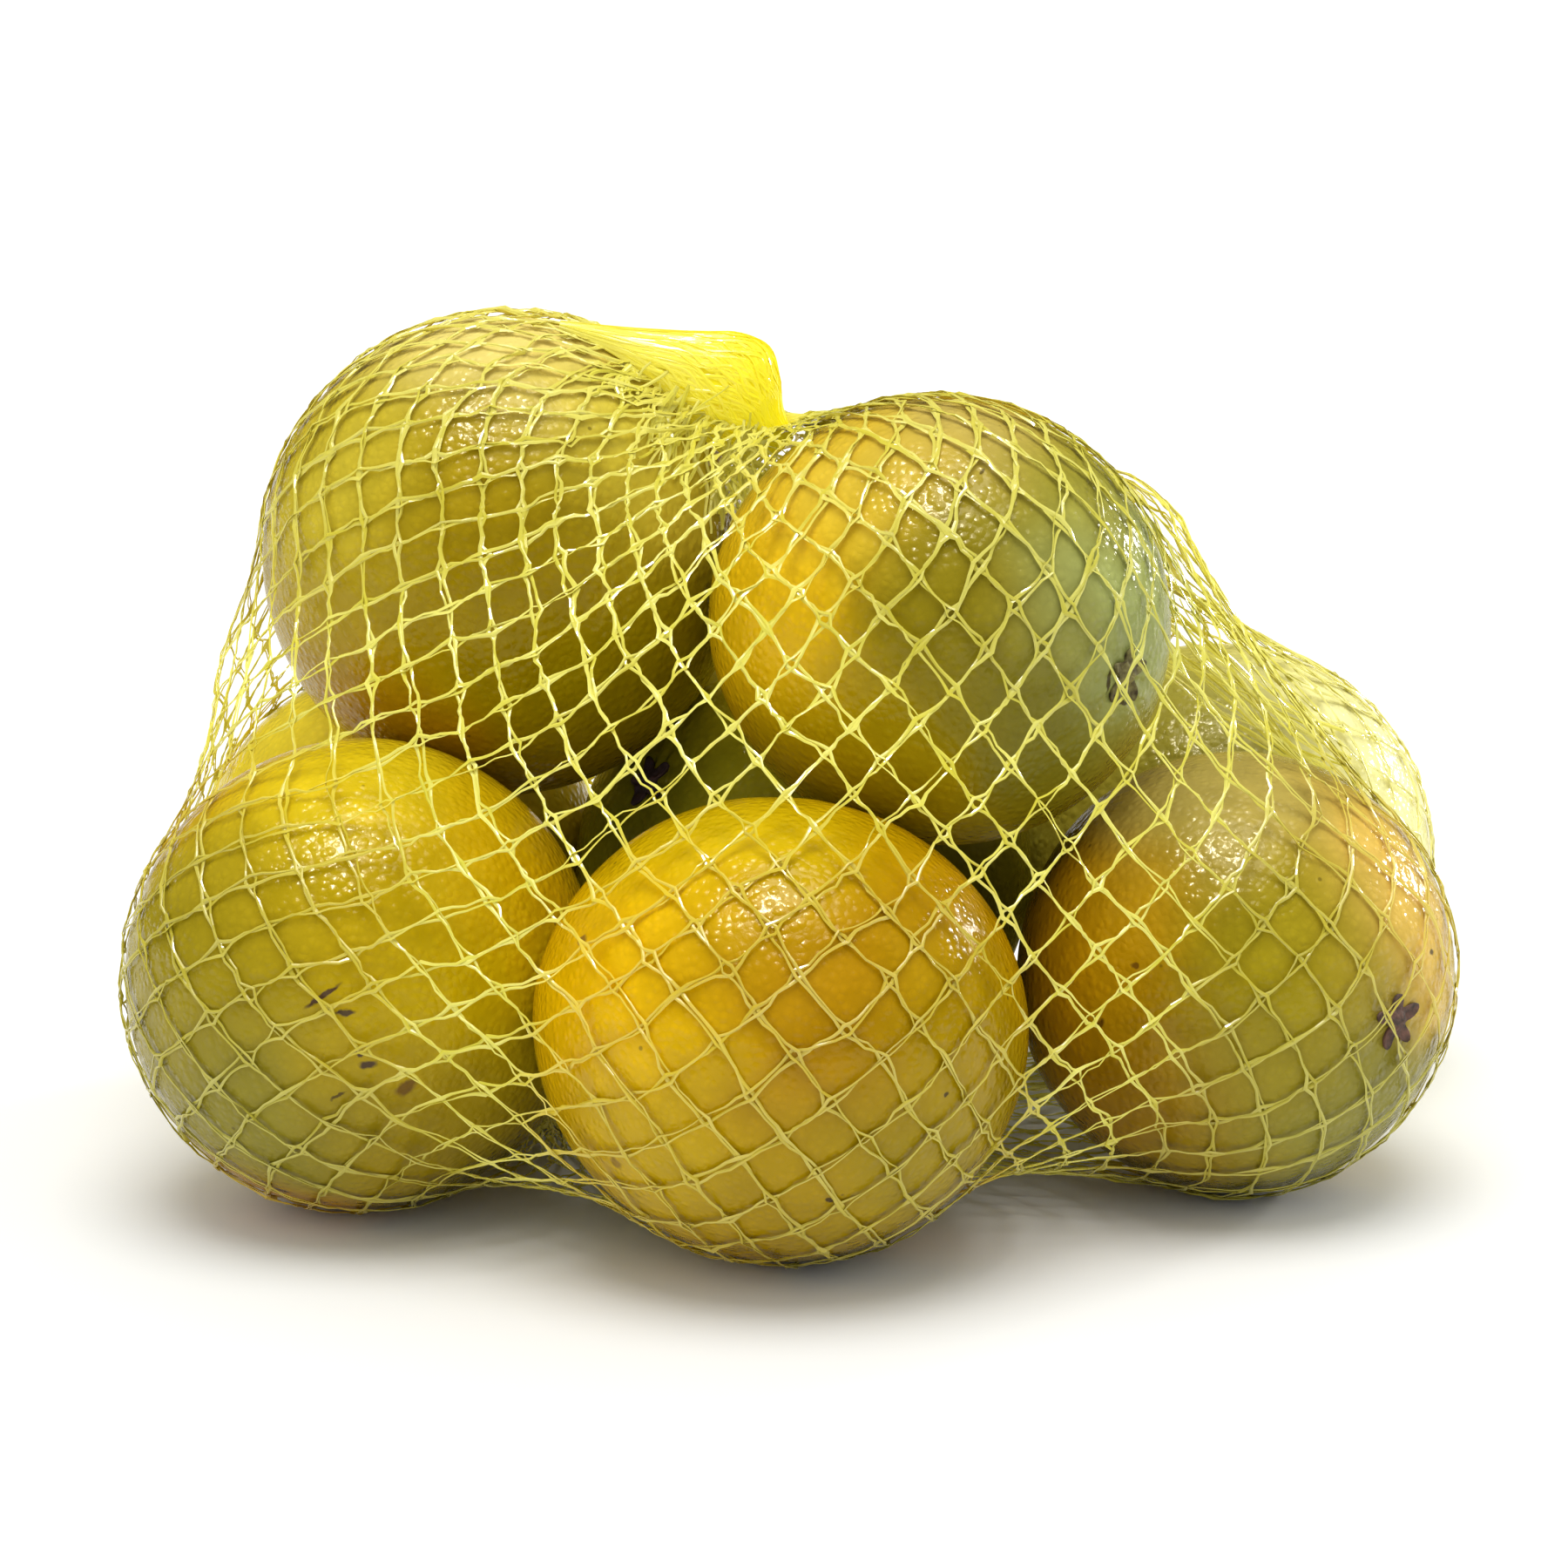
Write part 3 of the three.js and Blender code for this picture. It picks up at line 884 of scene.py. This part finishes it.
class ORANGES_OT_fruit(bpy.types.Operator):
    """Makes the eight oranges, each a ball of rings between its stem end and its blossom end"""

    bl_idname = "oranges.make_fruit"
    bl_label = "Make the oranges"

    def execute(self, context):
        settings = context.scene.orange_fruit
        rings, sides = settings.rings, settings.meridians
        theta = np.concatenate([np.linspace(0, np.pi, rings + 2)[1:-1].repeat(sides), [0, np.pi]])
        phi = np.concatenate([np.tile(np.arange(sides) * 2 * np.pi / sides, rings), [0, 0]])
        faces = ball_faces(rings, sides)
        for orange in HEAP:
            points = orange.peel(theta, phi)
            material = peel_material(orange, settings)
            piece = new_piece(f"orange_{orange.name}", points, faces, material)
            paint(piece, "peel_colour_and_painted_light", orange.colours(points))
        return {"FINISHED"}


class ORANGES_OT_buttons(bpy.types.Operator):
    """Makes the dried calyx on each orange's stem end, a star with a woody button in the middle"""

    bl_idname = "oranges.make_buttons"
    bl_label = "Make the stem ends"
    rings = 20
    sides = 60

    # Sizes of the star, in millimetres or as shares of its radius
    lobes = 5
    radius = 5.2
    notch = 0.48  # share that is left between two lobes
    sharpness = 1.5
    waves = 5  # that make its outline uneven
    unevenness = 0.05
    plate = 0.35  # height over the peel
    button = (1.1, 1.7)  # height and radius
    dimple = (0.35, 0.9)  # depth and radius
    rim_lift = 0.45
    rim_wave = 0.12
    rim_underside = 0.65
    root = 0.9  # depth of the middle of the underside

    def star(self, orange):
        """Points of a closed star, from its middle out over its top to the rim and back underneath.

        The radius swings between notch and tip with the cosine of the angle times the lobes, sharpened and
        shaken by a few waves. The top has a button in the middle, and the rim is thin and above the peel.
        """
        step = np.linspace(0, 2, self.rings + 2)[1:-1]
        turn = np.arange(self.sides) * 2 * np.pi / self.sides
        draw = np.random.default_rng(BUTTON_SEED + orange.number)
        shake = sum(
            draw.normal(0, self.unevenness) * np.cos(k * turn + draw.uniform(*ANY_PHASE))
            for k in range(1, self.waves + 1)
        )
        lobe = (0.5 + 0.5 * np.cos(self.lobes * turn + draw.uniform(*ANY_PHASE))) ** self.sharpness
        tips = self.radius * (between(self.notch, 1, lobe) + shake)
        out = np.append(np.repeat(1 - np.abs(1 - step), self.sides), [0, 0])
        under = np.append(np.repeat(step > 1, self.sides), [False, True])
        turn, tips = (np.append(np.tile(values, self.rings), [0, 0]) for values in (turn, tips))
        far = out * tips
        height, reach = self.button
        top = self.plate + height * np.exp(-(far / reach) ** 4)
        depth, reach = self.dimple
        top = top - depth * np.exp(-(far / reach) ** 2)
        top = top + self.rim_lift * out ** 3 + self.rim_wave * np.cos(self.lobes * turn) * out
        below = self.root * (out ** 4 - 1) + self.rim_underside * out ** 6
        return orange.peel(far / orange.girth, turn, proud=np.where(under, below, top))

    def execute(self, context):
        faces = ball_faces(self.rings, self.sides)
        for orange in HEAP:
            new_piece(f"stem_end_{orange.name}", self.star(orange), faces, button_material(orange))
        return {"FINISHED"}


class ORANGES_OT_net(bpy.types.Operator):
    """Makes the drawn net, two crossing lays of strands that are each a pair of flat filaments"""

    bl_idname = "oranges.make_net"
    bl_label = "Make the net"

    def filaments(self, knots, normals, lay, settings):
        """Sections of the pairs of filaments along one lay of strands, their colours and painted glow.

        A pair follows a smooth curve through the strand's knots. It opens at each knot and closes half way
        to the next, where some pairs cross. Lays pass over and under each other in turn, and both crinkle.
        """
        draw = np.random.default_rng(FILAMENT_SEED + lay)
        course = strands_of(knots, lay)
        strands, count = each = course.shape[:2]
        path = push_out(smooth_path(course, EDGE_CUTS), NET_CLEAR)
        steps = path.shape[1]
        facing = unit(smooth_path(strands_of(normals, lay), EDGE_CUTS))
        side = unit(np.cross(facing, unit(np.gradient(path, axis=1))))
        edge = np.linalg.norm(np.diff(course, axis=1), axis=-1)
        room = np.clip(np.concatenate([edge[:, :1], edge], axis=1) / FULL_STRAND, LEAST_ROOM, 1)
        room = linear_path(room, EDGE_CUTS)
        part = np.append(np.tile(np.arange(EDGE_CUTS) / EDGE_CUTS, count - 1), 0)
        opened = np.abs(2 * part - 1) ** OPEN_POWER
        pinch = np.repeat(draw.uniform(*PINCH, each), EDGE_CUTS, axis=1)[:, :steps]
        cross = np.where(draw.random(each) < CROSSING, -1, 1).cumprod(axis=1)
        spread = linear_path(cross * draw.uniform(*SPREAD, each), EDGE_CUTS)
        gap = settings.opening / MM / 2 * room * spread * between(pinch, 1, opened)
        weave = linear_path(np.tile((-1.0) ** (np.arange(count) + lay), (strands, 1)), EDGE_CUTS)
        thin, thick = (np.array([*hue, 1.0]) for hue in (settings.thin_colour, settings.thick_colour))
        cover = np.interp(np.arange(steps) / EDGE_CUTS, *np.transpose(FILM_COVER))
        made = []
        for sign in (-1, 1):
            bends = draw.normal(0, CRINKLE, (2, strands, CRINKLES * (count - 1) + 1))
            waver, lift = (linear_path(bend, EDGE_CUTS // CRINKLES) for bend in bends)
            height = OVER_UNDER * weave + PAIR_RISE * sign * np.sin(part * np.pi) + CRINKLE_LIFT * lift
            line = path + (sign * gap + waver)[..., None] * side + height[..., None] * facing
            line[..., 2] = np.maximum(line[..., 2], FILAMENT_LOWEST)
            half_width = settings.filament / MM / 2 * linear_path(draw.uniform(*WIDTH, each), EDGE_CUTS)
            half_width = half_width * between(*WIDTH_OPENING, opened) * between(*WIDTH_ROOM, room)
            half_width = half_width * between(*WIDTH_COVER, cover)
            roll = linear_path(draw.normal(0, ROLL, each), EDGE_CUTS)
            sections = ribbon_points(line, facing, half_width, roll)
            tint = linear_path(draw.random(each), EDGE_CUTS)[..., None]
            made.append((sections, *film_over_peel(line, between(thin, thick, tint), cover)))
        return [np.concatenate(values) for values in zip(*made)]

    def execute(self, context):
        settings = context.scene.orange_net
        knots = drawn_net(settings.columns, settings.rows, settings.strand / MM)
        normals = outward(knots)
        shake = np.random.default_rng(KNOT_SEED).normal(0, KNOT_SHAKE, knots.shape)
        shake[:STILL_ROWS] = 0
        knots = knots + shake - (shake * normals).sum(-1, keepdims=True) * normals
        material = net_material("polyethylene_net")
        for lay, way in enumerate(("falling", "rising")):
            made = self.filaments(knots, normals, lay, settings)
            halves = zip(*(np.array_split(values, 2) for values in made))
            for half, (sections, colours, glow) in enumerate(halves, start=1):
                film_piece(f"net_{way}_{half}", sections, material, colours, glow)
        return {"FINISHED"}


class ORANGES_OT_tail(bpy.types.Operator):
    """Makes the tail, the end of the net bunched into a dense fan, and strands that are drawn together"""

    bl_idname = "oranges.make_tail"
    bl_label = "Make the tail"
    cuts = 5  # steps between two points of the fan's edges

    # Ribbons, in millimetres and radians. Two numbers are the least and the most.
    ribbons = 420
    far = (0.97, 1.02)  # share of the way out from the middle of the fan
    sway = 0.10
    sway_turns = (15.0, 30.0)  # radians of sway along a ribbon
    half_width = (0.15, 0.4)
    roll = 0.4
    twist = (-0.3, 0.3)  # from its start to its end
    pale_by_chance = 0.12  # how much paler than the bunch
    pale_at_end = 0.7

    # The inside of the bunch
    inside_rings = 24
    inside_sides = 60
    inside_size = 0.96  # share of the fan's
    pleats = 14
    pleat_depth = 0.04
    inside_clear = 0.3

    # Strands drawn together over hollows
    strand_steps = 16
    strand_sway = 0.8
    strand_turns = (5.4, 12.6)
    strand_slant = 0.7  # sway to and fro, for each sway from side to side

    def edges(self):
        """The fan's upper and lower edges and its half thickness, in even steps along it."""
        upper, lower = (smooth_path(edge[None], self.cuts)[0] for edge in (TAIL_UPPER, TAIL_LOWER))
        return upper, lower, linear_path(TAIL_THICK[None], self.cuts)[0]

    def around(self, rise, deep):
        """Points round the fan's sections, from the middle up by the rise and back by the depth.

        Both are shares: of the way from the middle to the upper edge, and of the half thickness.
        """
        upper, lower, thick = self.edges()
        spot = (lower + upper) / 2 + rise[..., None] * (upper - lower) / 2
        return NECK + np.stack([-spot[..., 0], deep * thick, spot[..., 1]], -1)

    def fan(self, draw):
        """Paths of the ribbons on the outside of the fan and the way each faces.

        A ribbon keeps its turn round the fan's sections, apart from a slow sway.
        """
        upper, lower, thick = self.edges()
        each = (self.ribbons, 1)
        turn = draw.uniform(0, 2 * np.pi, each)
        far = draw.uniform(*self.far, each)
        wave = np.linspace(0, 1, len(thick)) * draw.uniform(*self.sway_turns, each)
        turn = turn + self.sway * np.sin(wave + draw.uniform(*ANY_PHASE, each))
        rise, deep = far * np.sin(turn), far * np.cos(turn)
        upwards = unit(np.stack([lower[:, 0] - upper[:, 0], 0 * thick, upper[:, 1] - lower[:, 1]], -1))
        facing = rise[..., None] * upwards + deep[..., None] * np.array([0.0, 1.0, 0.0])
        return push_out(self.around(rise, deep), NET_CLEAR), unit(facing)

    def drawn_in(self, bunch, draw):
        """Paths of strands drawn together over a hollow: lines from box to box, with a sway."""
        first, last, loose, facing, count = bunch
        share = np.linspace(0, 1, self.strand_steps)[:, None]
        start, end = (NECK + place + draw.uniform(-1, 1, (count, 3)) * loose for place in (first, last))
        path = start[:, None] * (1 - share) + end[:, None] * share
        each = (count, 1)
        wave = share[:, 0] * draw.uniform(*self.strand_turns, each) + draw.uniform(*ANY_PHASE, each)
        path[..., 0] += self.strand_sway * np.sin(wave)
        path[..., 1] += self.strand_sway * np.cos(self.strand_slant * wave)
        return push_out(path, NET_CLEAR), np.broadcast_to(unit(np.array(facing)), path.shape)

    def inside(self, material, hue):
        """The inside of the bunch: a pleated body under the ribbons along the denser part of the fan.

        Its sections are the fan's, a little smaller, and swell and shrink with the cosine of the turn.
        """
        turn = (np.arange(self.inside_sides) * 2 * np.pi / self.inside_sides)[:, None]
        size = self.inside_size * (1 + self.pleat_depth * np.cos(self.pleats * turn))
        rings = self.around(size * np.sin(turn), size * np.cos(turn))
        rings = np.swapaxes(rings, 0, 1)[:self.inside_rings]
        points = np.concatenate([rings.reshape(-1, 3), rings[[0, -1]].mean(axis=1)])
        points = push_out(points, self.inside_clear)
        faces = ball_faces(self.inside_rings, self.inside_sides)
        piece = new_piece("net_tail_inside", points, faces, material)
        paint_film(piece, np.tile(hue, (len(points), 1)), np.full(len(points), TAIL_GLOW))

    def bundle(self, name, path, facing, material, colours, draw):
        """Adds ribbons along paths as one piece, each of its own width and roll."""
        shape = path.shape[:2]
        half_width = draw.uniform(*self.half_width, (shape[0], 1)) * np.ones(shape)
        roll = draw.normal(0, self.roll, (shape[0], 1)) + np.linspace(*self.twist, shape[1])
        sections = ribbon_points(path, facing, half_width, roll)
        film_piece(name, sections, material, colours, np.full(shape, TAIL_GLOW))

    def execute(self, context):
        settings = context.scene.orange_net
        draw = np.random.default_rng(TAIL_SEED)
        material = net_material("polyethylene_net_bunched")
        hues = (settings.thin_colour, settings.thick_colour, settings.tail_colour)
        thin, thick, bunched = (np.array([*hue, 1.0]) for hue in hues)
        self.inside(material, bunched)
        path, facing = self.fan(draw)
        paler = self.pale_by_chance * draw.random((self.ribbons, 1))
        paler = paler + self.pale_at_end * np.linspace(0, 1, path.shape[1]) ** 2
        self.bundle("net_tail", path, facing, material, between(bunched, thin, paler[..., None]), draw)
        for name, bunch in BUNCHES.items():
            path, facing = self.drawn_in(bunch, draw)
            paler = draw.random((len(path), 1, 1)) * np.ones((1, path.shape[1], 1))
            self.bundle(name, path, facing, material, between(thick, thin, paler), draw)
        return {"FINISHED"}


class ORANGES_OT_stage(bpy.types.Operator):
    """Makes the pale floor, the lights and the camera"""

    bl_idname = "oranges.make_stage"
    bl_label = "Make the stage"
    floor_reach = 8.0  # metres
    middle = (0.0, 0.0, 0.06)  # of the object, in metres

    def floor(self, scene, colour):
        """A wide square of matt paper under the object."""
        material, _, shader = new_material("matt_paper")
        shader.inputs["Base Color"].default_value = (*colour, 1.0)
        shader.inputs["Roughness"].default_value = 0.9
        reach = self.floor_reach
        corners = [(-reach, -reach, 0), (reach, -reach, 0), (reach, reach, 0), (-reach, reach, 0)]
        mesh = bpy.data.meshes.new("floor")
        mesh.from_pydata(corners, [], [(0, 1, 2, 3)])
        mesh.materials.append(material)
        floor = bpy.data.objects.new("floor", mesh)
        scene.collection.objects.link(floor)

    def studio(self, scene, sky, room):
        """White light from all round, which wax and film mirror less of than they are lit by."""
        world = bpy.data.worlds.new("studio")
        world.use_nodes = True
        tree = world.node_tree
        mirrored = add_node(tree, "ShaderNodeLightPath").outputs["Is Glossy Ray"]
        strength = add_node(tree, "ShaderNodeMapRange", {"Value": mirrored, "To Min": sky, "To Max": room})
        background = tree.nodes["Background"]
        background.inputs["Color"].default_value = (1, 1, 1, 1)
        tree.links.new(strength.outputs["Result"], background.inputs["Strength"])
        scene.world = world

    def lamp(self, scene, name, place, power, width):
        """A far light from the way of a place in metres, as wide in the sky as the degrees given."""
        light = bpy.data.lights.new(name, "SUN")
        light.energy = power
        light.angle = math.radians(width)
        lamp = bpy.data.objects.new(name, light)
        turn = (Vector(place) - Vector(self.middle)).to_track_quat("Z", "Y")
        lamp.matrix_world = Matrix.Translation(place) @ turn.to_matrix().to_4x4()
        scene.collection.objects.link(lamp)
        return lamp

    def camera(self, scene):
        """A camera that looks at its target from the front and a little above."""
        rise = math.radians(CAMERA_RISE)
        eye = np.array(CAMERA_TARGET) + CAMERA_DISTANCE * np.array([0, -math.cos(rise), math.sin(rise)])
        lens = bpy.data.cameras.new("camera")
        lens.sensor_width = 36.0
        lens.lens = lens.sensor_width / 2 / math.tan(math.radians(CAMERA_VIEW / 2))
        camera = bpy.data.objects.new("camera", lens)
        camera.location = eye * MM
        camera.rotation_euler = (math.pi / 2 - rise, 0, 0)
        scene.collection.objects.link(camera)
        scene.camera = camera

    def execute(self, context):
        settings = context.scene.orange_stage
        scene = context.scene
        scene.view_settings.view_transform = "Standard"
        self.floor(scene, settings.floor_colour)
        self.studio(scene, settings.sky, settings.room)
        self.lamp(scene, "top_light", (0.0, -0.12, 1.0), settings.top, width=40)
        spark = self.lamp(scene, "spark_light", (-0.12, -0.18, 1.0), settings.spark, width=6)
        spark.visible_diffuse = False
        self.lamp(scene, "side_light", (0.74, 0.62, 0.27), settings.side, width=8)
        self.camera(scene)
        return {"FINISHED"}


class ORANGES_PT_panel(bpy.types.Panel):
    """Lists the steps in order, with the settings of each"""

    bl_idname = "ORANGES_PT_panel"
    bl_label = "Net of oranges"
    bl_space_type = "VIEW_3D"
    bl_region_type = "UI"
    bl_category = "Oranges"

    def draw(self, context):
        for name, group in SETTINGS.items():
            for setting in group.__annotations__:
                self.layout.prop(getattr(context.scene, name), setting)
        for step in STEPS:
            self.layout.operator(step.bl_idname)


SETTINGS = {"orange_stage": StageSettings, "orange_fruit": FruitSettings, "orange_net": NetSettings}
STEPS = (ORANGES_OT_stage, ORANGES_OT_fruit, ORANGES_OT_buttons, ORANGES_OT_net, ORANGES_OT_tail)
CLASSES = (*SETTINGS.values(), *STEPS, ORANGES_PT_panel)


def register():
    for made in CLASSES:
        bpy.utils.register_class(made)
    for name, group in SETTINGS.items():
        setattr(bpy.types.Scene, name, PointerProperty(type=group))


def unregister():
    for name in SETTINGS:
        delattr(bpy.types.Scene, name)
    for made in reversed(CLASSES):
        bpy.utils.unregister_class(made)


def main():
    register()
    bpy.ops.oranges.make_stage()
    bpy.ops.oranges.make_fruit()
    bpy.ops.oranges.make_buttons()
    bpy.ops.oranges.make_net()
    bpy.ops.oranges.make_tail()


if __name__ == "__main__":
    main()
